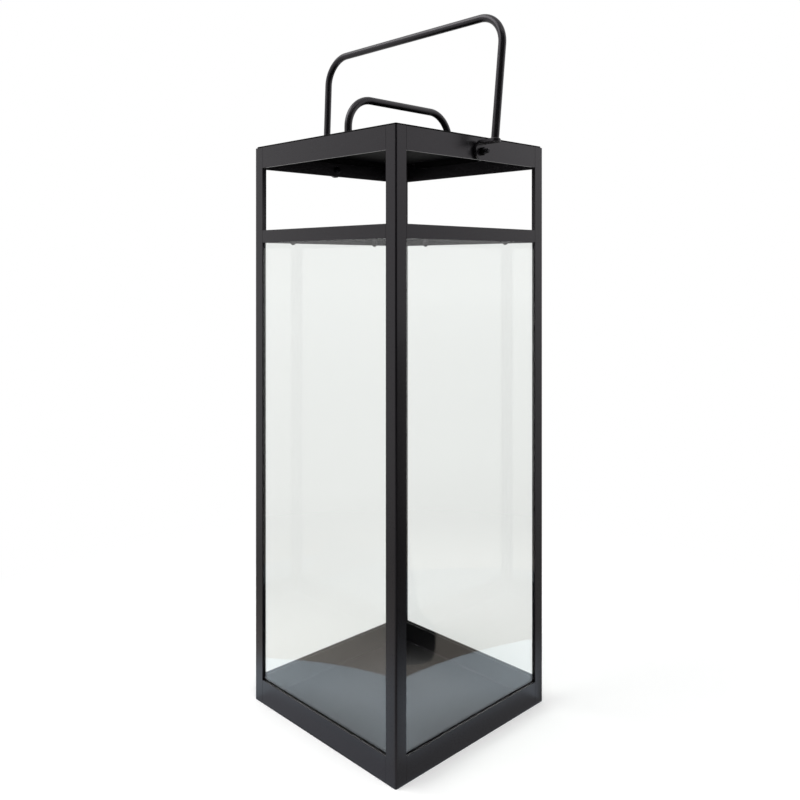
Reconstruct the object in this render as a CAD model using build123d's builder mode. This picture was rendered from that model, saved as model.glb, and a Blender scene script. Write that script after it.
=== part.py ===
from build123d import *
import os
from math import cos, radians, sin, sqrt, tan

# Floor lantern: a welded steel frame with four glass panes, a lift-off lid and a swinging bail.
# Millimetres. The origin is at the middle of the footprint, on the ground, and +Z is up.
# Front looks along -Y and right along +X. The bail turns about an axis along X.

# Frame
body_width = 250  # across the outer faces of the posts
body_height = 678  # from the ground to the tops of the posts
steel_thickness = 2  # angle posts and flat bar rails
angle_leg = 15
angle_edge_radius = 2
angle_root_radius = 1.5
top_rail_height = 25
vent_gap = 76  # open band between the top rails and the glass rails
glass_rail_height = 15
base_rail_height = 28
seam_chamfer = 0.35  # at the rails' ends, so that each butt joint shows as a fine line

# Floor and glass
floor_thickness = 2
slot_wall_thickness = 1.5
glass_thickness = 3
glass_clearance = 0.3  # pane to rails, and pane to clips
slot_play = 1.7  # what is left of the slot behind the pane
pane_corner_gap = 2.2  # from a pane's side edge to the next pane
pane_top_drop = 5  # from the top of the glass rails down to the panes' top edges
pane_edge_chamfer = 0.5

# Clips that fold over the panes' top edges
clip_thickness = 1
clip_width = 10
clip_spacing = 140
clip_lift = 1
clip_reach = 10.5  # down over the pane
clip_bend_radius = 1.6

# Lid
lid_thickness = 2
lid_inset = 1.5
lid_corner_radius = 1.5
lid_edge_chamfer = 0.4
lip_length = 180
lip_height = 8
lip_thickness = 2
lip_clearance = 1.5
lid_rod_diameter = 9
lid_handle_span = 173  # between the two legs
lid_handle_rise = 50  # from the lid to the middle of the grip
lid_handle_bend = 35
handle_shift = 5  # the lid handle and the pivots sit this far behind the middle

# Bail
pivot_drop = 16  # below the tops of the posts
bail_rod_diameter = 9
bail_height = 154  # from the pivot to the middle of the grip
bail_offset = 22  # from the side of the frame to the middle of a leg, at the pivot
bail_splay = 2.25  # degrees that each leg spreads on its way up
bail_bend = 34
bail_lean = 4  # degrees towards the back, where friction holds it
lug_thickness = 3
lug_eye_diameter = 20
lug_strap_width = 12
lug_tab_overhang = 2
lug_bend_radius = 4
lug_side_gap = 0.2  # each side of the lug, between the washer and the nut

# Pivot hardware: the screws go in from the inside, and the nuts are outside the lugs
screw_diameter = 5
screw_length = 16  # under the head
head_diameter = 9.5
head_height = 3.2
head_rim = 1
recess_length = 5.4
recess_width = 1.3
recess_depth = 1.8
tip_chamfer = 0.6
thread_clearance = 0.05  # round the screw in the nut
pivot_clearance = 0.1  # round the screw in the lug
hole_clearance = 0.25  # round the screw in the rail and the washer
washer_diameter = 13
washer_thickness = 1
nut_across_flats = 8
nut_height = 4
nut_chamfer = 0.4  # round the outer face

# Places worked out from the sizes above
half_width = body_width / 2
inner_face = half_width - steel_thickness
rail_length = body_width - 2 * angle_leg
top_rail_bottom = body_height - top_rail_height
glass_rail_top = top_rail_bottom - vent_gap
glass_rail_bottom = glass_rail_top - glass_rail_height
pane_outer = inner_face - glass_clearance
pane_inner = pane_outer - glass_thickness
pane_top = glass_rail_top - pane_top_drop
pane_width = 2 * (pane_inner - pane_corner_gap)
slot_wall_outer = pane_inner - slot_play
slot_wall_inner = slot_wall_outer - slot_wall_thickness
clip_outer = pane_inner - glass_clearance
clip_top = pane_top + clip_lift + clip_thickness
lid_width = body_width - 2 * lid_inset
lid_top = body_height + lid_thickness
lip_outer = inner_face - lip_clearance
pivot_height = body_height - pivot_drop
lug_inner = half_width + washer_thickness + lug_side_gap
lug_outer = lug_inner + lug_thickness
nut_seat = lug_outer + lug_side_gap
head_top = inner_face - head_height
screw_tip = inner_face + screw_length
lug_neck = sqrt((lug_eye_diameter / 2) ** 2 - (lug_strap_width / 2) ** 2)
tab_top = lug_neck + lug_bend_radius
bail_leg = half_width + bail_offset
bail_shoulder = bail_leg + bail_height * tan(radians(bail_splay))
bail_foot = bail_leg + tab_top * tan(radians(bail_splay))
tab_end = bail_foot + bail_rod_diameter / 2 + lug_tab_overhang

sides = {"front": (0, -1), "back": (0, 1), "left": (-1, 0), "right": (1, 0)}
corners = {"front_left": (-1, -1), "front_right": (1, -1), "back_left": (-1, 1), "back_right": (1, 1)}
hands = {"left": -1, "right": 1}

os.makedirs("parts", exist_ok=True)


def save(piece, name):
    piece.label = name
    export_step(piece, f"parts/{name}.step")


def wall_plane(look, distance):
    """Upright plane that faces outwards on one side: x runs along the side and y is up."""
    x, y = look
    return Plane(origin=(x * distance, y * distance, 0), x_dir=(-y, x, 0), z_dir=(x, y, 0))


def section_plane(look, along):
    """Upright plane across one side: x runs outwards from the middle, y is up, z along the side."""
    x, y = look
    return Plane(origin=(-y * along, x * along, 0), x_dir=(x, y, 0), z_dir=(y, -x, 0))


def across(hand, distance):
    """Plane square to the pivot axis, facing outwards at one hand's side, with its x along +Z."""
    return Plane(origin=(hand * distance, handle_shift, pivot_height), x_dir=(0, 0, 1), z_dir=(hand, 0, 0))


# Corner posts: steel angle, full height, with the corner of the angle outwards
for name, (x, y) in corners.items():
    tip = half_width - angle_leg
    with BuildPart() as post:
        with BuildSketch():
            with BuildLine():
                outside = FilletPolyline(
                    (x * tip, y * half_width),
                    (x * half_width, y * half_width),
                    (x * half_width, y * tip),
                    radius=angle_edge_radius,
                )
                inside = FilletPolyline(
                    (x * tip, y * inner_face),
                    (x * inner_face, y * inner_face),
                    (x * inner_face, y * tip),
                    radius=angle_root_radius,
                )
                Line(outside @ 0, inside @ 0)
                Line(outside @ 1, inside @ 1)
            make_face()
        extrude(amount=body_height)
    save(post.part, f"post_{name}")

# Three rings of flat bar on edge, butted between the posts and flush with them outside
rings = {
    "top_rail": (top_rail_bottom, top_rail_height),
    "glass_rail": (glass_rail_bottom, glass_rail_height),
    "base_rail": (0, base_rail_height),
}
for ring, (bottom, height) in rings.items():
    for side, look in sides.items():
        with BuildPart() as rail:
            with BuildSketch(wall_plane(look, inner_face)):
                with Locations((0, bottom + height / 2)):
                    Rectangle(rail_length, height)
            extrude(amount=steel_thickness)
            ends = rail.edges().filter_by(Axis.Z).sort_by(Axis((0, 0, 0), (*look, 0)))[-2:]
            chamfer(ends, seam_chamfer)
            if ring == "top_rail" and side in hands:
                with Locations(across(hands[side], half_width)):
                    Hole(screw_diameter / 2 + hole_clearance)
        save(rail.part, f"{ring}_{side}")

# Floor plate: it fills the base ring and is flush with the bottom of it
with BuildPart() as floor_plate:
    with BuildSketch() as floor_outline:
        Rectangle(2 * inner_face, 2 * inner_face)
        chamfer(floor_outline.vertices(), angle_root_radius)
    extrude(amount=floor_thickness)
save(floor_plate.part, "floor_plate")

# Slot walls: strips on the floor plate that keep the panes against the base rails
for side, look in sides.items():
    with BuildPart() as slot_wall:
        length = 2 * slot_wall_outer if look[0] == 0 else 2 * slot_wall_inner
        height = base_rail_height - floor_thickness
        with BuildSketch(wall_plane(look, slot_wall_inner)):
            with Locations((0, floor_thickness + height / 2)):
                Rectangle(length, height)
        extrude(amount=slot_wall_thickness)
    save(slot_wall.part, f"slot_wall_{side}")

# Panes: they stand on the floor plate, with their edges behind the posts and the glass rails
for side, look in sides.items():
    with BuildPart() as pane:
        height = pane_top - floor_thickness
        with BuildSketch(wall_plane(look, pane_inner)):
            with Locations((0, floor_thickness + height / 2)):
                Rectangle(pane_width, height)
        extrude(amount=glass_thickness)
        chamfer(pane.edges(), pane_edge_chamfer)
    save(pane.part, f"glass_pane_{side}")

# Clips: strips from the glass rails over the panes' top edges, with rounded ends below
for side, look in sides.items():
    with BuildPart() as clips:
        for along in (-clip_spacing / 2, clip_spacing / 2):
            with BuildSketch(section_plane(look, along)):
                with BuildLine():
                    outside = FilletPolyline(
                        (inner_face, clip_top),
                        (clip_outer - clip_thickness, clip_top),
                        (clip_outer - clip_thickness, pane_top - clip_reach),
                        radius=clip_bend_radius,
                    )
                    inside = FilletPolyline(
                        (inner_face, clip_top - clip_thickness),
                        (clip_outer, clip_top - clip_thickness),
                        (clip_outer, pane_top - clip_reach),
                        radius=clip_bend_radius - clip_thickness,
                    )
                    Line(outside @ 0, inside @ 0)
                    Line(outside @ 1, inside @ 1)
                make_face()
            extrude(amount=clip_width / 2, both=True)
        ends = clips.edges().filter_by(Axis((0, 0, 0), (*look, 0))).group_by(Axis.Z)[0]
        fillet(ends, clip_width / 2 - 0.01)
    save(clips.part, f"glass_clips_{side}")

# Lid plate: it lies on the posts and the top rails
with BuildPart() as lid_plate:
    with BuildSketch(Plane.XY.offset(body_height)):
        RectangleRounded(lid_width, lid_width, lid_corner_radius)
    extrude(amount=lid_thickness)
    chamfer(lid_plate.faces().sort_by(Axis.Z)[-1].edges(), lid_edge_chamfer)
save(lid_plate.part, "lid_plate")

# Lid lips: strips under the lid that drop inside the top rails
for side, look in sides.items():
    with BuildPart() as lip:
        with BuildSketch(wall_plane(look, lip_outer - lip_thickness)):
            with Locations((0, body_height - lip_height / 2)):
                Rectangle(lip_length, lip_height)
        extrude(amount=lip_thickness)
        lower_corners = lip.edges().filter_by(Axis((0, 0, 0), (*look, 0))).group_by(Axis.Z)[0]
        fillet(lower_corners, lip_height / 2)
    save(lip.part, f"lid_lip_{side}")

# Lid handle: one rod, bent twice, standing on the lid
with BuildPart() as lid_handle:
    near, far = handle_shift - lid_handle_span / 2, handle_shift + lid_handle_span / 2
    with BuildLine() as lid_handle_route:
        FilletPolyline(
            (0, near, lid_top),
            (0, near, lid_top + lid_handle_rise),
            (0, far, lid_top + lid_handle_rise),
            (0, far, lid_top),
            radius=lid_handle_bend,
        )
    with BuildSketch(Plane(origin=lid_handle_route.line @ 0, z_dir=lid_handle_route.line % 0)):
        Circle(lid_rod_diameter / 2)
    sweep()
save(lid_handle.part, "lid_handle")

# Bail plane: x along the pivot axis and y up the leaning bail
lean = radians(bail_lean)
bail_plane = Plane(
    origin=(0, handle_shift, pivot_height),
    x_dir=(1, 0, 0),
    z_dir=(0, -cos(lean), sin(lean)),
)

# Bail rod: one rod, bent twice, with its feet cut off where they stand on the tabs of the lugs
with BuildPart() as bail_rod:
    with BuildLine(bail_plane) as bail_route:
        FilletPolyline(
            (-bail_leg, 0),
            (-bail_shoulder, bail_height),
            (bail_shoulder, bail_height),
            (bail_leg, 0),
            radius=bail_bend,
        )
    with BuildSketch(Plane(origin=bail_route.line @ 0, z_dir=bail_route.line % 0)):
        Circle(bail_rod_diameter / 2)
    sweep()
    tab_middle = (0, handle_shift + tab_top * sin(lean), pivot_height + tab_top * cos(lean))
    split(bisect_by=Plane(origin=tab_middle, z_dir=(0, sin(lean), cos(lean))), keep=Keep.TOP)
save(bail_rod.part, "bail_rod")

# Lugs, pivot screws, washers and nuts, one set on each side
for side, hand in hands.items():
    eye_plane = Plane(
        origin=(hand * lug_inner, handle_shift, pivot_height),
        x_dir=(0, sin(lean), cos(lean)),
        z_dir=(hand, 0, 0),
    )
    with BuildPart() as lug:
        with BuildSketch(eye_plane):
            Circle(lug_eye_diameter / 2)
            with Locations((lug_neck, 0)):
                Rectangle(
                    lug_eye_diameter,
                    lug_eye_diameter,
                    align=(Align.MIN, Align.CENTER),
                    mode=Mode.SUBTRACT,
                )
        extrude(amount=lug_thickness)
        with BuildSketch(bail_plane):
            with BuildLine():
                outside = FilletPolyline(
                    (hand * lug_inner, 0),
                    (hand * lug_inner, tab_top),
                    (hand * tab_end, tab_top),
                    radius=lug_bend_radius,
                )
                inside = FilletPolyline(
                    (hand * lug_outer, 0),
                    (hand * lug_outer, tab_top - lug_thickness),
                    (hand * tab_end, tab_top - lug_thickness),
                    radius=lug_bend_radius - lug_thickness,
                )
                Line(outside @ 0, inside @ 0)
                Line(outside @ 1, inside @ 1)
            make_face()
        extrude(amount=lug_strap_width / 2, both=True)
        tab_corners = lug.edges().filter_by(Axis((0, 0, 0), (0, sin(lean), cos(lean))))
        fillet(tab_corners.sort_by(Axis((0, 0, 0), (hand, 0, 0)))[-2:], lug_strap_width / 2 - 0.01)
        with Locations(eye_plane.offset(lug_thickness)):
            Hole(screw_diameter / 2 + pivot_clearance)
    save(lug.part, f"bail_lug_{side}")

    with BuildPart() as screw:
        profile_plane = Plane(
            origin=(0, handle_shift, pivot_height),
            x_dir=(hand, 0, 0),
            z_dir=(0, -hand, 0),
        )
        with BuildSketch(profile_plane):
            with BuildLine():
                Polyline(
                    (head_top, 0),
                    (screw_tip, 0),
                    (screw_tip, screw_diameter / 2 - tip_chamfer),
                    (screw_tip - tip_chamfer, screw_diameter / 2),
                    (inner_face, screw_diameter / 2),
                    (inner_face, head_diameter / 2),
                )
                FilletPolyline(
                    (inner_face, head_diameter / 2),
                    (head_top, head_diameter / 2),
                    (head_top, 0),
                    radius=head_height - head_rim,
                )
            make_face()
        revolve(axis=Axis((0, handle_shift, pivot_height), (1, 0, 0)))
        with BuildSketch(across(hand, head_top)):
            Rectangle(recess_length, recess_width)
            Rectangle(recess_width, recess_length)
        extrude(amount=recess_depth, mode=Mode.SUBTRACT)
    save(screw.part, f"pivot_screw_{side}")

    with BuildPart() as washer:
        with BuildSketch(across(hand, half_width)):
            Circle(washer_diameter / 2)
            Circle(screw_diameter / 2 + hole_clearance, mode=Mode.SUBTRACT)
        extrude(amount=washer_thickness)
    save(washer.part, f"pivot_washer_{side}")

    with BuildPart() as nut:
        with BuildSketch(across(hand, nut_seat)):
            RegularPolygon(nut_across_flats / 2, 6, major_radius=False)
        extrude(amount=nut_height)
        chamfer(nut.faces().sort_by(Axis((0, 0, 0), (hand, 0, 0)))[-1].edges(), nut_chamfer)
        with Locations(across(hand, nut_seat + nut_height)):
            Hole(screw_diameter / 2 + thread_clearance)
    save(nut.part, f"pivot_nut_{side}")
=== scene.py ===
import math

import bpy
import numpy as np
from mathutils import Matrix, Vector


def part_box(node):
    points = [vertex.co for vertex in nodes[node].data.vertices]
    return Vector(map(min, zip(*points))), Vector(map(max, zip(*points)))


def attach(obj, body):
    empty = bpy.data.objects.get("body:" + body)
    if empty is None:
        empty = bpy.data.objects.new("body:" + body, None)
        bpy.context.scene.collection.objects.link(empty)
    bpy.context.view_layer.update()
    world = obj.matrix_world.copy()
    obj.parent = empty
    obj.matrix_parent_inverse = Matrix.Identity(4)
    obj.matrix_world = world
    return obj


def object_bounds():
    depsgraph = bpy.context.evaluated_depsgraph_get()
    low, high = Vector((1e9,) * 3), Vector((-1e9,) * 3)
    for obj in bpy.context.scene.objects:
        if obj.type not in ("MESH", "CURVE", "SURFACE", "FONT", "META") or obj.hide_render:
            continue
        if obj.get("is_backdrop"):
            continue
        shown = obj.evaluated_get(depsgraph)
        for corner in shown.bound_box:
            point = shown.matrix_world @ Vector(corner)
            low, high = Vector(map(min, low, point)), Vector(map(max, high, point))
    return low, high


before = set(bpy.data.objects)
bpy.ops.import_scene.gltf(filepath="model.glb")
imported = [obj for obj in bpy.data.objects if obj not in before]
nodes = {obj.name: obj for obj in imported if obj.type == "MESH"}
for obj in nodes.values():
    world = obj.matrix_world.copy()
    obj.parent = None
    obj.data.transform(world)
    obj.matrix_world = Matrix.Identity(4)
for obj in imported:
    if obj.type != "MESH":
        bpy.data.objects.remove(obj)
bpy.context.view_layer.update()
mm = 0.001  # the scene is in metres, and the sizes below are in millimetres
pivotAt = (5, 662)  # y and z of the axis on which the bail turns
sides = {"front": (0, -1), "back": (0, 1), "left": (-1, 0), "right": (1, 0)}  # the way that each side looks
noiseSpan = (0.3, 0.7)  # where nearly all values of a noise texture lie
print("lantern: frame loaded,", len(nodes), "nodes")


def linearColour(hexText, alpha=1.0):
    # each channel of an sRGB hex colour turned linear
    channels = [int(hexText[i : i + 2], 16) / 255 for i in (1, 3, 5)]
    return (*[c / 12.92 if c <= 0.04045 else ((c + 0.055) / 1.055) ** 2.4 for c in channels], alpha)


def addNode(tree, kind, values=None, links=None, **options):
    # one node with its options set, its sockets filled and its links made
    node = tree.nodes.new(kind)
    for name, value in options.items():
        setattr(node, name, value)
    for name, value in (values or {}).items():
        node.inputs[name].default_value = value
    for name, socket in (links or {}).items():
        tree.links.new(socket, node.inputs[name])
    return node


def newMaterial(name):
    # an empty node material with its output
    material = bpy.data.materials.new(name)
    material.use_nodes = True
    material.node_tree.nodes.clear()
    return material, material.node_tree, addNode(material.node_tree, "ShaderNodeOutputMaterial")


def addNoise(tree, size, **values):
    # a noise texture whose spots are about size mm wide
    place = addNode(tree, "ShaderNodeTexCoord").outputs["Object"]
    return addNode(tree, "ShaderNodeTexNoise", {"Scale": 1 / (size * mm), **values}, {"Vector": place})


def addBlend(tree, noise, settings):
    # the noise goes from the low colour to the high one
    colours = {6: linearColour(settings["low"]), 7: linearColour(settings["high"])}
    return addNode(tree, "ShaderNodeMix", colours, {0: noise.outputs["Fac"]}, data_type="RGBA").outputs[2]


def addSheen(tree, noise, settings):
    # the noise spread over the settings' range of roughness
    low, high = settings["roughness"]
    span = {"From Min": noiseSpan[0], "From Max": noiseSpan[1], "To Min": low, "To Max": high}
    return addNode(tree, "ShaderNodeMapRange", span, {"Value": noise.outputs["Fac"]}).outputs["Result"]


def addObject(name, points, faces, material):
    # points in millimetres
    mesh = bpy.data.meshes.new(name)
    mesh.from_pydata((np.asarray(points, float) * mm).tolist(), [], faces)
    mesh.materials.append(material)
    thing = bpy.data.objects.new(name, mesh)
    bpy.context.scene.collection.objects.link(thing)
    return thing


def addPiece(name, grid, body, material, closed=True):
    # a grid of points whose rows are closed rings; the last row joins the first, or both get a cap
    rows, columns = grid.shape[:2]
    points = grid.reshape(-1, 3)
    r, c = np.meshgrid(np.arange(rows if closed else rows - 1), np.arange(columns), indexing="ij")
    r2, c2 = (r + 1) % rows, (c + 1) % columns
    quads = np.stack([r * columns + c, r * columns + c2, r2 * columns + c2, r2 * columns + c], axis=-1)
    quads = quads.reshape(-1, 4)
    corners = points[quads] - points.mean(axis=0)
    # the signed volume tells whether the faces point outwards
    volume = np.einsum("ij,ij->i", corners[:, 0], np.cross(corners[:, 1], corners[:, 2])).sum()
    volume += np.einsum("ij,ij->i", corners[:, 0], np.cross(corners[:, 2], corners[:, 3])).sum()
    faces = quads.tolist()
    if not closed:
        faces += [list(range(columns))[::-1], list(range((rows - 1) * columns, rows * columns))]
    if volume < 0:
        faces = [face[::-1] for face in faces]
    piece = addObject(name, points, faces, material)
    piece.data.shade_smooth()
    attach(piece, body)
    return piece


# satin black polyester powder coat, baked on mild steel
powderCoat = {
    "low": "#070608",
    "high": "#0d0c0e",
    "cloud": 45,  # mm, slow change of film thickness
    "grit": 0.9,  # mm; the real texture is about 0.3, drawn coarser so that it shows
    "gritDepth": 0.035,  # mm
    "bump": 0.5,
    "roughness": (0.26, 0.36),
    "ior": 1.5,
    "specular": 0.4,
    "specularTint": "#fdf6ff",
}
# inside the lantern and on the lid the coat is a deeper, flatter black; on the lid this is painted shade, a darker copy
# of the coat that stands in for the deep shade under the lid, though it covers the lid's top as well
trayPowderCoat = {**powderCoat, "low": "#0b0b0c", "high": "#121213", "roughness": (0.42, 0.52), "specular": 0.22}
lidShadePowderCoat = {**powderCoat, "low": "#030303", "high": "#060606", "roughness": (0.55, 0.70), "specular": 0.06}


def makePowderCoat(name, settings):
    # a fine orange-peel grit breaks up the coat's soft sheen, and thin and thick film make it a little uneven
    material, tree, output = newMaterial(name)
    cloud = addNoise(tree, settings["cloud"], Detail=3.0, Roughness=0.6)
    grit = addNoise(tree, settings["grit"], Detail=2.0, Roughness=0.55)
    bump = addNode(
        tree,
        "ShaderNodeBump",
        {"Strength": settings["bump"], "Distance": settings["gritDepth"] * mm},
        {"Height": grit.outputs["Fac"]},
    )
    shader = addNode(
        tree,
        "ShaderNodeBsdfPrincipled",
        {
            "IOR": settings["ior"],
            "Specular IOR Level": settings["specular"],
            "Specular Tint": linearColour(settings["specularTint"]),
        },
        {
            "Base Color": addBlend(tree, cloud, settings),
            "Roughness": addSheen(tree, grit, settings),
            "Normal": bump.outputs["Normal"],
        },
    )
    tree.links.new(shader.outputs["BSDF"], output.inputs["Surface"])
    return material


# clear soda-lime float glass with seamed edges
floatGlass = {
    "tint": "#f8f9f8",
    "edge": "#9fd0bb",  # what a long way through the pane leaves of white
    "density": 4.0,  # per metre
    "ior": 1.52,
    "groundEdge": 0.45,  # roughness of the seamed edges
    "facing": (0.9, 0.95),  # share of a face's normal along the pane's own, from a seamed edge to a clear face
}


def makeGlass(name, settings, axis):
    # the clean faces mirror the studio, and the seamed edges look frosted and green; axis is the pane's normal, 0 for X
    # and 1 for Y
    material, tree, output = newMaterial(name)
    normal = addNode(tree, "ShaderNodeNewGeometry").outputs["True Normal"]
    facing = addNode(tree, "ShaderNodeSeparateXYZ", links={0: normal})
    across = addNode(tree, "ShaderNodeMath", links={0: facing.outputs[axis]}, operation="ABSOLUTE")
    seamed, polished = settings["facing"]
    edge = addNode(
        tree,
        "ShaderNodeMapRange",
        {"From Min": seamed, "From Max": polished, "To Min": settings["groundEdge"], "To Max": 0.0},
        {"Value": across.outputs[0]},
    )
    glass = addNode(
        tree,
        "ShaderNodeBsdfPrincipled",
        {"Base Color": linearColour(settings["tint"]), "Transmission Weight": 1.0, "IOR": settings["ior"]},
        {"Roughness": edge.outputs["Result"]},
    )
    clear = addNode(tree, "ShaderNodeBsdfTransparent", {"Color": linearColour(settings["tint"])})
    ray = addNode(tree, "ShaderNodeLightPath")
    lampRay = addNode(
        tree,
        "ShaderNodeMath",
        links={0: ray.outputs["Is Shadow Ray"], 1: ray.outputs["Is Diffuse Ray"]},
        operation="MAXIMUM",
    )
    surface = addNode(
        tree,
        "ShaderNodeMixShader",
        links={0: lampRay.outputs[0], 1: glass.outputs["BSDF"], 2: clear.outputs["BSDF"]},
    )
    depth = addNode(
        tree,
        "ShaderNodeVolumeAbsorption",
        {"Color": linearColour(settings["edge"]), "Density": settings["density"]},
    )
    tree.links.new(surface.outputs["Shader"], output.inputs["Surface"])
    tree.links.new(depth.outputs["Volume"], output.inputs["Volume"])
    return material


# zinc-plated steel with a black passivate
blackZinc = {
    "low": "#1c1c1e",
    "high": "#29282b",
    "stain": 3,  # mm
    "roughness": (0.26, 0.42),
}


def makeBlackZinc(name, settings):
    # a dark metal with a faint uneven stain and a sharp glint
    material, tree, output = newMaterial(name)
    stain = addNoise(tree, settings["stain"], Detail=4.0)
    shader = addNode(
        tree,
        "ShaderNodeBsdfPrincipled",
        {"Metallic": 1.0},
        {"Base Color": addBlend(tree, stain, settings), "Roughness": addSheen(tree, stain, settings)},
    )
    tree.links.new(shader.outputs["BSDF"], output.inputs["Surface"])
    return material


frameCoat = makePowderCoat("satinPowderCoat", powderCoat)
trayCoat = makePowderCoat("mattPowderCoatInside", trayPowderCoat)
# the lid's coat is a darker, flatter copy of the frame's: painted shade for the shade under the lid
lidShadedCoat = makePowderCoat("mattPowderCoatLidPaintedShade", lidShadePowderCoat)
glassAcross = makeGlass("floatGlassFrontBack", floatGlass, 1)
glassAlong = makeGlass("floatGlassLeftRight", floatGlass, 0)
fastenerZinc = makeBlackZinc("blackZincPlate", blackZinc)

for name, node in nodes.items():
    if name.startswith("glass_pane"):
        finish = glassAcross if name.endswith(("front", "back")) else glassAlong
    elif name.startswith("pivot"):
        finish = fastenerZinc
    elif name.startswith(("floor_plate", "slot_wall")):
        finish = trayCoat
    elif name.startswith(("lid_plate", "lid_lip")):
        finish = lidShadedCoat
    else:
        finish = frameCoat
    node.data.materials.clear()
    node.data.materials.append(finish)
print("lantern: materials on every node")


# weld beads round the feet of the rods
footWeld = {
    "leg": 1.8,  # mm, on the rod and on the plate
    "sink": 0.3,  # mm, into the rod and the plate
    "ripple": 0.07,  # share of the leg
    "ripples": 22,
    "swell": 0.05,  # share of the leg, three times round
    "hollow": 1.3,  # power of the sine and the cosine, of which 1 gives a round section
    "steps": 132,
    "sectionSteps": 9,
}
bailWeld = {**footWeld, "leg": 1.35}  # stays on the strap


def addFootWeld(name, centre, axis, side, rodRadius, settings, body):
    # bead(u, v) = centre + (rod radius + leg x sin^h v) x direction(u) + (leg x cos^h v) x axis, where v is a quarter
    # turn from the rod down to the plate, h makes the section hollow, and the leg swells a little with u; the section
    # is closed inside the rod and the plate
    u = np.linspace(0, 2 * np.pi, settings["steps"], endpoint=False)[:, None]
    v = np.linspace(0, np.pi / 2, settings["sectionSteps"])[None, :]
    ripple = settings["ripple"] * np.sin(settings["ripples"] * u)
    leg = settings["leg"] * (1 + ripple + settings["swell"] * np.sin(3 * u + 1))
    sink = settings["sink"]
    out = rodRadius + leg * np.sin(v) ** settings["hollow"]
    up = leg * np.cos(v) ** settings["hollow"]
    flat = np.ones_like(u)
    out = np.concatenate([out, out[:, -1:], (rodRadius - sink) * flat, (rodRadius - sink) * flat], axis=1)
    up = np.concatenate([up, -sink * flat, -sink * flat, up[:, :1]], axis=1)
    axis, side = (np.array(x, float) / np.linalg.norm(x) for x in (axis, side))
    direction = np.cos(u) * side + np.sin(u) * np.cross(axis, side)
    grid = np.array(centre, float) + out[..., None] * direction[:, None, :] + up[..., None] * axis
    return addPiece(name, grid, body, frameCoat)


lidHandleLow, lidHandleHigh = (np.array(c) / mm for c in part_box("lid_handle"))
lidTop = lidHandleLow[2]
rodRadius = (lidHandleHigh[0] - lidHandleLow[0]) / 2
for side, y in (("front", lidHandleLow[1] + rodRadius), ("back", lidHandleHigh[1] - rodRadius)):
    addFootWeld(f"lid_handle_weld_{side}", (0, y, lidTop), (0, 0, 1), (1, 0, 0), rodRadius, footWeld, "lid")

bailFeet = {
    "lean": 4,  # degrees
    "leg": 147.5,  # from the middle to the middle of a foot
    "tabTop": 12,  # along the leg, from the pivot to the top of the lug's tab
    "rodRadius": 4.5,
}
lean = math.radians(bailFeet["lean"])
bailUp = np.array((0, math.sin(lean), math.cos(lean)))
for side, hand in (("left", -1), ("right", 1)):
    foot = np.array((hand * bailFeet["leg"], *pivotAt)) + bailFeet["tabTop"] * bailUp
    addFootWeld(f"bail_weld_{side}", foot, bailUp, (1, 0, 0), bailFeet["rodRadius"], bailWeld, "bail")
print("lantern: weld beads round the rods' feet")


# fillet between the slot walls and the floor plate
slotFillet = {
    "leg": 1.6,  # mm
    "sink": 0.2,
    "uneven": 0.12,  # share of the leg
    "waves": (57, 23),  # swells of the leg once round, of two kinds
    "steps": 150,  # along one side
    "sectionSteps": 7,
}


def addSlotFillet(name, wallAt, floorAt, settings):
    # fillet(t, v): t runs once round a unit square, and the point is (wall - leg x (1 - sin v)) x square(t) at the
    # height floor + leg x (1 - cos v), a hollow quarter circle that leaves the floor flat and meets the wall upright
    steps = settings["steps"]
    run = np.linspace(-1, 1, steps, endpoint=False)
    one = np.ones(steps)
    square = np.concatenate([
        np.stack([run, -one], axis=1),
        np.stack([one, run], axis=1),
        np.stack([-run, one], axis=1),
        np.stack([-one, -run], axis=1),
    ])
    t = np.linspace(0, 2 * np.pi, len(square), endpoint=False)[:, None]
    short, long = settings["waves"]
    uneven = 1 + settings["uneven"] * (np.sin(short * t) + np.sin(long * t + 2)) / 2
    v = np.linspace(0, np.pi / 2, settings["sectionSteps"])[None, :]
    leg, sink = settings["leg"] * uneven, settings["sink"]
    inwards = leg * (1 - np.sin(v))
    up = leg * (1 - np.cos(v))
    flat = np.ones_like(t)
    inwards = np.concatenate([inwards, -sink * flat, -sink * flat, inwards[:, :1]], axis=1)
    up = np.concatenate([up, up[:, -1:], -sink * flat, -sink * flat], axis=1)
    across = (wallAt - inwards)[..., None] * square[:, None, :]
    grid = np.concatenate([across, (floorAt + up)[..., None]], axis=-1)
    return addPiece(name, grid, "frame", trayCoat)


wallInside = -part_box("slot_wall_left")[1][0] / mm
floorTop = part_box("floor_plate")[1][2] / mm
addSlotFillet("slot_wall_fillet", wallInside, floorTop, slotFillet)
print("lantern: fillet along the slot walls")


# round ends of the glass clips, which hang a little below the glass rails
clipEnd = {
    "hang": 1.9,  # mm below the rail
    "radius": 4.98,  # just inside the clip's sides
    "thickness": 1,  # of the clip
    "proud": 0.05,  # past each face of the clip, so that no two faces share a plane
    "edge": 0.15,  # rounding of the rim
    "spacing": 140,  # from one clip of a side to the other
    "steps": 56,
}


def addClipEnd(name, look, along, depth, bottom, settings):
    # end(k, u) = a point of a disc: r x cos u along the side, r x sin u up and depth outwards, in four layers through
    # the clip's thickness, of which the outer two are smaller by the rounded edge
    u = np.linspace(0, 2 * np.pi, settings["steps"], endpoint=False)[None, :]
    edge, proud = settings["edge"], settings["proud"]
    r = (settings["radius"] - np.array([edge, 0, 0, edge]))[:, None]
    low, high = depth - proud, depth + settings["thickness"] + proud
    out = np.array([low, low + edge, high - edge, high])[:, None] * np.ones_like(u)
    run = along + r * np.cos(u)
    up = bottom - settings["hang"] + settings["radius"] + r * np.sin(u)
    grid = np.stack([look[0] * out - look[1] * run, look[1] * out + look[0] * run, up], axis=-1)
    return addPiece(name, grid, "frame", frameCoat, closed=False)


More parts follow.
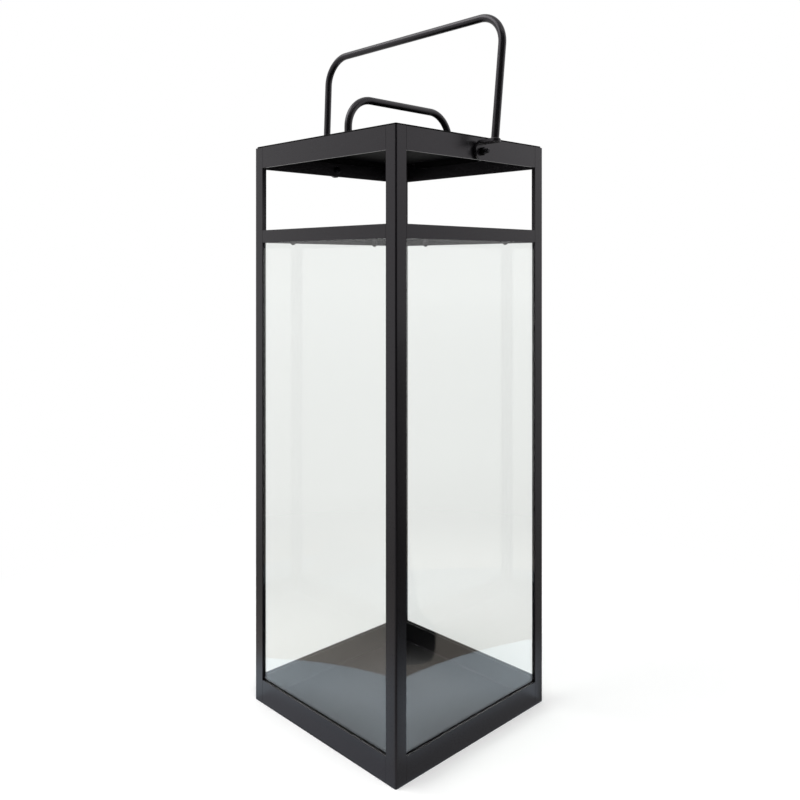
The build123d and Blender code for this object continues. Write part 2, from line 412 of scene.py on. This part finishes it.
for side, look in sides.items():
    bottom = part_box(f"glass_rail_{side}")[0][2] / mm
    depth = np.abs(np.array(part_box(f"glass_clips_{side}"))[:, :2] @ np.array(look)).min() / mm
    for end, along in (("a", -clipEnd["spacing"] / 2), ("b", clipEnd["spacing"] / 2)):
        addClipEnd(f"glass_clip_end_{side}_{end}", look, along, depth, bottom, clipEnd)
print("lantern: round ends of the glass clips")


# weld runs behind the top rails' ends
seamWeld = {
    "width": 3.4,  # mm
    "rise": 0.8,
    "sink": 0.3,
    "pitch": 1.7,  # mm from ripple to ripple
    "short": 1.5,  # mm that a run stays away from the rail's edges
    "blunt": 8,  # power that keeps a run wide until close to its ends
    "tip": 0.02,  # least square of the taper, so that the ends keep a little width
    "swell": 0.16,  # share of the rise
    "lag": 1.2,  # radians by which a ripple trails at the sides of the run
    "waver": 0.04,  # share of the width
    "steps": 90,
    "sectionSteps": 11,
}


def addSeamWeld(name, start, end, outwards, settings):
    # bead(s, a) = point s of the way from start to end, plus cos a x half width across, plus sin a x rise outwards,
    # over half a turn; both shrink with the root of 1 - (2s - 1)^blunt towards the ends, and the rise swells with s
    start, end, outwards = (np.array(x, float) for x in (start, end, outwards))
    length = np.linalg.norm(end - start)
    along = (end - start) / length
    across = np.cross(along, outwards)
    s = np.linspace(0, 1, settings["steps"])[:, None]
    taper = np.sqrt(np.clip(1 - np.abs(2 * s - 1) ** settings["blunt"], settings["tip"], 1))
    a = np.linspace(0, np.pi, settings["sectionSteps"])[None, :]
    ripple = np.cos(2 * np.pi * s * length / settings["pitch"] + settings["lag"] * np.cos(a))
    waver = 1 + settings["waver"] * np.sin(31 * s)
    wide = settings["width"] / 2 * taper * np.cos(a) * waver
    high = settings["rise"] * taper * np.sin(a) * (1 + settings["swell"] * ripple)
    sink = -settings["sink"] * np.ones_like(s)
    wide = np.concatenate([wide, wide[:, -1:], wide[:, :1]], axis=1)
    high = np.concatenate([high, sink, sink], axis=1)
    grid = start + s[..., None] * (end - start) + wide[..., None] * across + high[..., None] * outwards
    return addPiece(name, grid, "frame", frameCoat, closed=False)


for side, look in sides.items():
    low, high = (np.array(corner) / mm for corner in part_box(f"top_rail_{side}"))
    inwards = -np.array((*look, 0))
    face = np.where(inwards > 0, high, low) * np.abs(inwards)
    run = 1 - np.abs(inwards)[:2]
    for end, along in (("a", low), ("b", high)):
        at = face[:2] + run * along[:2]
        bottom = (*at, low[2] + seamWeld["short"])
        top = (*at, high[2] - seamWeld["short"])
        addSeamWeld(f"seam_weld_{side}_{end}", bottom, top, inwards, seamWeld)
print("lantern: weld runs behind the top rails")


# threads on the ends of the pivot screws
screwThread = {
    "radius": 2.5,  # mm
    "pitch": 0.8,
    "depth": 0.16,
    "foot": 0.5,  # share of the pitch from the ridge's middle to its foot
    "crest": 0.08,  # share of the pitch from the ridge's middle to the edge of its flat top
    "sink": 0.1,
    "start": 132.8,  # just inside the nut
    "end": 138.2,  # where the tip tapers
    "perTurn": 36,
}


def addThread(name, hand, settings):
    # ridge(t, v) = a point of a small triangle, carried along a helix: x = start + pitch x t, radius + ridge height
    # from the axis, turned t times; the ridge rises over the first half turn and sinks over the last
    turns = (settings["end"] - settings["start"]) / settings["pitch"]
    t = np.linspace(0, turns, int(turns * settings["perTurn"]))[:, None]
    grow = np.clip(np.minimum(t, turns - t) * 2, 0, 1)
    foot, crest = settings["foot"], settings["crest"]
    alongRidge = np.array([-foot, -crest, crest, foot]) * settings["pitch"]
    rise = np.array([0, 1, 1, 0]) * settings["depth"] * grow - np.array([1, 0, 0, 1]) * settings["sink"]
    x = hand * (settings["start"] + settings["pitch"] * t + alongRidge)
    away = settings["radius"] + rise
    angle = 2 * np.pi * t * hand
    y, z = pivotAt
    grid = np.stack([x, y + away * np.cos(angle), z + away * np.sin(angle)], axis=-1)
    return addPiece(name, grid, "frame", fastenerZinc, closed=False)


for side, hand in (("left", -1), ("right", 1)):
    addThread(f"pivot_thread_{side}", hand, screwThread)
print("lantern: threads on the pivot screws")


camera = {
    "lens": 37.35,  # mm
    "sensor": 36,  # mm wide
    "turn": 45.88,  # degrees round from the front towards the right
    "distance": 1021.2,  # from the lantern's axis
    "eyeHeight": 533.2,
    "shift": (0.0018, -0.1673),  # a level camera with a dropped frame, so that the posts stay upright
}
cameraTurn = math.radians(camera["turn"])
cameraData = bpy.data.cameras.new("camera")
cameraData.lens = camera["lens"]
cameraData.sensor_width = camera["sensor"]
cameraData.shift_x, cameraData.shift_y = camera["shift"]
cameraObject = bpy.data.objects.new("camera", cameraData)
cameraObject.location = (
    camera["distance"] * math.sin(cameraTurn) * mm,
    -camera["distance"] * math.cos(cameraTurn) * mm,
    camera["eyeHeight"] * mm,
)
cameraObject.rotation_euler = (math.pi / 2, 0, cameraTurn)
bpy.context.scene.collection.objects.link(cameraObject)
bpy.context.scene.camera = cameraObject


studio = {
    "floor": "#e8e8e8",
    "floorHalf": 30000,  # mm from the middle to an edge
    "floorDrop": 0.4,  # mm under the lantern
    "floorLift": 0.25,  # what the floor adds where it is seen, so that it reads white and keeps a soft shadow
    "fade": (250, 800),  # mm from the lantern, over which the floor melts into the background
    "ambient": 0.62,  # light from all round
    "background": 1.0,
    "lamps": (
        # name, place (m), size (m), watts
        ("key", (-1.6, -1.9, 3.1), 2.6, 74),
        ("fill", (2.4, -0.6, 2.4), 2.2, 38),
    ),
    "aim": (0, 0, 0.35),  # m, where the lamps point
}


def seenRay(tree):
    # 1 for a ray from the camera, off something shiny or through glass, and 0 for light that bounces
    ray = addNode(tree, "ShaderNodeLightPath")
    first = addNode(
        tree,
        "ShaderNodeMath",
        links={0: ray.outputs["Is Camera Ray"], 1: ray.outputs["Is Glossy Ray"]},
        operation="MAXIMUM",
    )
    return addNode(
        tree,
        "ShaderNodeMath",
        links={0: first.outputs[0], 1: ray.outputs["Is Transmission Ray"]},
        operation="MAXIMUM",
    ).outputs[0]


# the paper is white and matt, and far from the lantern it looks like the background
paper, tree, output = newMaterial("studioPaper")
seen = seenRay(tree)
matte = addNode(tree, "ShaderNodeBsdfDiffuse", {"Color": linearColour(studio["floor"])})
lift = addNode(tree, "ShaderNodeMath", {1: studio["floorLift"]}, {0: seen}, operation="MULTIPLY")
glow = addNode(tree, "ShaderNodeEmission", links={"Strength": lift.outputs[0]})
nearPaper = addNode(tree, "ShaderNodeAddShader", links={0: matte.outputs[0], 1: glow.outputs[0]})
farPaper = addNode(tree, "ShaderNodeEmission", {"Strength": studio["background"]})
place = addNode(tree, "ShaderNodeTexCoord").outputs["Object"]
reach = addNode(tree, "ShaderNodeVectorMath", links={0: place}, operation="LENGTH")
fade = addNode(
    tree,
    "ShaderNodeMapRange",
    {"From Min": studio["fade"][0] * mm, "From Max": studio["fade"][1] * mm},
    {"Value": reach.outputs["Value"]},
    interpolation_type="SMOOTHSTEP",
)
share = addNode(tree, "ShaderNodeMath", links={0: fade.outputs["Result"], 1: seen}, operation="MULTIPLY")
both = addNode(
    tree,
    "ShaderNodeMixShader",
    links={0: share.outputs[0], 1: nearPaper.outputs[0], 2: farPaper.outputs[0]},
)
tree.links.new(both.outputs[0], output.inputs["Surface"])
half, under = studio["floorHalf"], -studio["floorDrop"]
floorCorners = [(-half, -half, under), (half, -half, under), (half, half, under), (-half, half, under)]
addObject("floor", floorCorners, [(0, 1, 2, 3)], paper)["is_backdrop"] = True


# what the lantern mirrors round the paper: a pale oval table top, darker near the lantern's foot as a painted contact
# shadow, a room beyond it that is dimmer at the right, a dark screen behind the camera, an upright dark block on a wide
# foot at the right, painted shadow on the ground beside the posts and rails, and a bright window. They are glowing
# cards that show in reflections only and take no light away. Each tone is a distance from the lantern's foot in mm, or
# a height for the block, then a colour and how brightly it glows
room = {
    "groundHeight": -0.2,  # mm, of the table and the room
    "mirrorDepth": 0.5,  # a ray's glossy depth is over this from its first mirror image on
    "insideDepth": (3.4, 3.6),  # a ray's transmission depth passes through this on its way to a far pane
    "insideShare": 0.3,  # what the table glows where a far pane mirrors it
    "tableCentre": (-59, 133),  # mm
    "tableRadii": (435, 314),
    "tableTurn": 114,  # degrees that the first radius is turned from +X
    # the table's tones: darker near the lantern's foot, a painted contact shadow, and brighter further out
    "tableTones": ((130, "#a7b0b6", 1.3), (220, "#e8f5ff", 1.55)),
    "roomRadius": 15000,
    "ringSteps": 97,
    "leftSpan": (136, 316),  # degrees round from +X
    "leftTones": (
        (330, "#e0d9d2", 1.15),
        (560, "#b2afab", 1.0),
        (1100, "#d0d0ce", 1.25),
        (2500, "#eeeeed", 1.0),
        (6000, "#ffffff", 1.0),
    ),
    "rightSpan": (-44, 136),
    "rightTones": (
        (330, "#b8b0a8", 1.0),
        (560, "#959390", 1.2),
        (1100, "#b8b7b5", 1.0),
        (2500, "#d0d0cf", 1.0),
        (14500, "#ffffff", 1.0),
    ),
    "curveSteps": 41,
    "screenRadius": 1500,
    "screenSpan": (-42, 62),  # degrees from the camera's own direction
    "screenHeights": (0, 2400),
    "screenTones": ((0, "#1c1c1e", 1.0),),
    "windowRadius": 3000,
    "windowSpan": (35, 100),  # degrees round from the right towards the back
    "windowHeights": (900, 3200),
    "windowTones": ((0, "#ffffff", 1.25),),
    "blockFrom": (275, 102),  # mm, on the ground
    "blockTowards": (499, -189),
    # along the ground from blockFrom, and up: a wide foot under an upright
    "blockOutline": (
        (20, 0),
        (9, 4),
        (3, 13),
        (2, 22),
        (2, 46),
        (8, 57),
        (18, 66),
        (26, 80),
        (30, 110),
        (38, 168),
        (50, 240),
        (60, 440),
        (520, 440),
        (520, 0),
    ),
    "blockTones": (
        (0, "#8a8887", 1.0),
        (8, "#605f5e", 1.0),
        (18, "#3c3b3b", 1.0),
        (30, "#161617", 1.0),
        (50, "#080808", 1.0),
    ),
    "shadeHeight": 0.3,  # mm, of the first shade
    "shadeStep": 0.1,  # mm from one shade up to the next, so that no two share a plane
    # the corners and the tones of each shade, a painted shadow on the ground that shows in reflections only
    "shades": (
        # far beside the front post, on the right
        (
            ((126, -116), (426, 176), (450, -350), (126, -350)),
            ((170, "#d8d8d8", 1.0), (230, "#9c9c9c", 1.0), (290, "#363636", 1.0)),
        ),
        # far beside the front post, on the left
        (
            ((116, -126), (-176, -426), (350, -450), (350, -126)),
            ((170, "#e8e8e8", 1.0), (290, "#bbbbbb", 1.0)),
        ),
        # beside the back right post
        (((126, 118), (300, 343), (126, 343)), ((0, "#a0a0a0", 1.0),)),
        # along the right base rail
        (((126, -125), (155, -125), (155, 125), (126, 125)), ((0, "#b0b2b4", 1.0),)),
        # along the front base rail
        (((-125, -126), (-125, -150), (125, -150), (125, -126)), ((0, "#dce0e9", 1.0),)),
    ),
}


def addCard(name, points, faces, tones, insideShare=1.0, byHeight=False):
    # a glowing card that a ray meets only after a glossy bounce; it glows by its insideShare where a far pane, seen
    # through the near ones, mirrors it
    material, tree, output = newMaterial(name + "Glow")
    place = addNode(tree, "ShaderNodeTexCoord").outputs["Object"]
    reach = addNode(tree, "ShaderNodeVectorMath", links={0: place}, operation="LENGTH").outputs["Value"]
    height = addNode(tree, "ShaderNodeSeparateXYZ", links={0: place}).outputs["Z"]
    # the ramp runs up to the last tone, because Cycles keeps only 256 steps of it
    end = max(tones[-1][0], 1)
    span = {"From Min": 0.0, "From Max": end * mm}
    away = addNode(tree, "ShaderNodeMapRange", span, {"Value": height if byHeight else reach})
    ramp = addNode(tree, "ShaderNodeValToRGB", links={0: away.outputs["Result"]})
    stops = ramp.color_ramp.elements
    stops.remove(stops[1])
    for at, (distance, colour, glow) in enumerate(tones):
        stop = stops.new(distance / end) if at else stops[0]
        stop.position = distance / end
        stop.color = [c * glow for c in linearColour(colour)[:3]] + [1.0]
    ray = addNode(tree, "ShaderNodeLightPath")
    near, far = room["insideDepth"]
    depth = {"From Min": near, "From Max": far, "To Min": 1.0, "To Max": insideShare}
    share = addNode(tree, "ShaderNodeMapRange", depth, {"Value": ray.outputs["Transmission Depth"]})
    tone = addNode(
        tree,
        "ShaderNodeEmission",
        links={"Color": ramp.outputs[0], "Strength": share.outputs["Result"]},
    )
    mirrored = addNode(
        tree,
        "ShaderNodeMath",
        {1: room["mirrorDepth"]},
        {0: ray.outputs["Glossy Depth"]},
        operation="GREATER_THAN",
    )
    clear = addNode(tree, "ShaderNodeBsdfTransparent")
    both = addNode(
        tree,
        "ShaderNodeMixShader",
        links={0: mirrored.outputs[0], 1: clear.outputs[0], 2: tone.outputs[0]},
    )
    tree.links.new(both.outputs[0], output.inputs["Surface"])
    card = addObject(name, points, faces, material)
    card.visible_camera = card.visible_diffuse = card.visible_volume_scatter = card.visible_shadow = False
    card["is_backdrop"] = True


def gridFaces(rows, columns):
    # the faces between a grid's points, which are numbered row by row
    r, c = (x.ravel() for x in np.meshgrid(np.arange(rows - 1), np.arange(columns - 1), indexing="ij"))
    start = r * columns + c
    return np.stack([start, start + 1, start + columns + 1, start + columns], axis=-1).tolist()


# ring(u, k) = the table's centre + k x the point at u of an ellipse with the table's radii, turned by the tilt
roomReach = room["roomRadius"] / min(room["tableRadii"])
tilt = math.radians(room["tableTurn"])
for name, scales, span, tones, share in (
    ("table", (0, 1), (0, 360), room["tableTones"], room["insideShare"]),
    ("roomRight", (1, roomReach), room["rightSpan"], room["rightTones"], 1.0),
    ("roomLeft", (1, roomReach), room["leftSpan"], room["leftTones"], 1.0),
):
    u, k = np.meshgrid(np.radians(np.linspace(*span, room["ringSteps"])) - tilt, scales, indexing="ij")
    first, second = k * room["tableRadii"][0] * np.cos(u), k * room["tableRadii"][1] * np.sin(u)
    x = room["tableCentre"][0] + first * np.cos(tilt) - second * np.sin(tilt)
    y = room["tableCentre"][1] + first * np.sin(tilt) + second * np.cos(tilt)
    ring = np.stack([x, y, np.full_like(x, room["groundHeight"])], axis=-1)
    addCard(name, ring.reshape(-1, 3), gridFaces(*x.shape), tones, share)

# curve(u, z) = radius x (cos u, sin u) at the height z, for the screen and the window
for name, turned in (("screen", cameraTurn - math.pi / 2), ("window", 0)):
    angles = turned + np.radians(np.linspace(*room[name + "Span"], room["curveSteps"]))
    u, z = np.meshgrid(angles, room[name + "Heights"], indexing="ij")
    radius = room[name + "Radius"]
    curve = np.stack([radius * np.cos(u), radius * np.sin(u), z], axis=-1)
    addCard(name, curve.reshape(-1, 3), gridFaces(*z.shape), room[name + "Tones"])

# block = the start + along x the direction on the ground + up
blockStart, blockEnd = (np.array((*room[key], 0), float) for key in ("blockFrom", "blockTowards"))
blockWay = (blockEnd - blockStart) / np.linalg.norm(blockEnd - blockStart)
outline = np.array(room["blockOutline"], float)
block = blockStart + outline[:, :1] * blockWay + outline[:, 1:] * np.array((0, 0, 1))
addCard("block", block, [list(range(len(block)))], room["blockTones"], byHeight=True)

for at, (shadeCorners, tones) in enumerate(room["shades"]):
    shade = [(*corner, room["shadeHeight"] + room["shadeStep"] * at) for corner in shadeCorners]
    addCard(f"shade{at}", shade, [list(range(len(shade)))], tones)


world = bpy.data.worlds.new("studio")
bpy.context.scene.world = world
world.use_nodes = True
tree = world.node_tree
tree.nodes.clear()
level = addNode(
    tree,
    "ShaderNodeMapRange",
    {"To Min": studio["ambient"], "To Max": studio["background"]},
    {"Value": seenRay(tree)},
)
sky = addNode(tree, "ShaderNodeBackground", {"Color": (1, 1, 1, 1)}, {"Strength": level.outputs["Result"]})
tree.links.new(sky.outputs[0], addNode(tree, "ShaderNodeOutputWorld").inputs["Surface"])

for name, place, size, watts in studio["lamps"]:
    lampData = bpy.data.lights.new(name, "AREA")
    lampData.size = size
    lampData.energy = watts
    lamp = bpy.data.objects.new(name, lampData)
    lamp.location = place
    aim = np.array(studio["aim"]) - np.array(place)
    pitch = math.asin(aim[2] / np.linalg.norm(aim))
    lamp.rotation_euler = (math.pi / 2 + pitch, 0, math.atan2(-aim[0], aim[1]))
    bpy.context.scene.collection.objects.link(lamp)
bpy.context.scene.view_settings.view_transform = "Standard"
print("lantern: camera, floor and lights")

low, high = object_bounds()
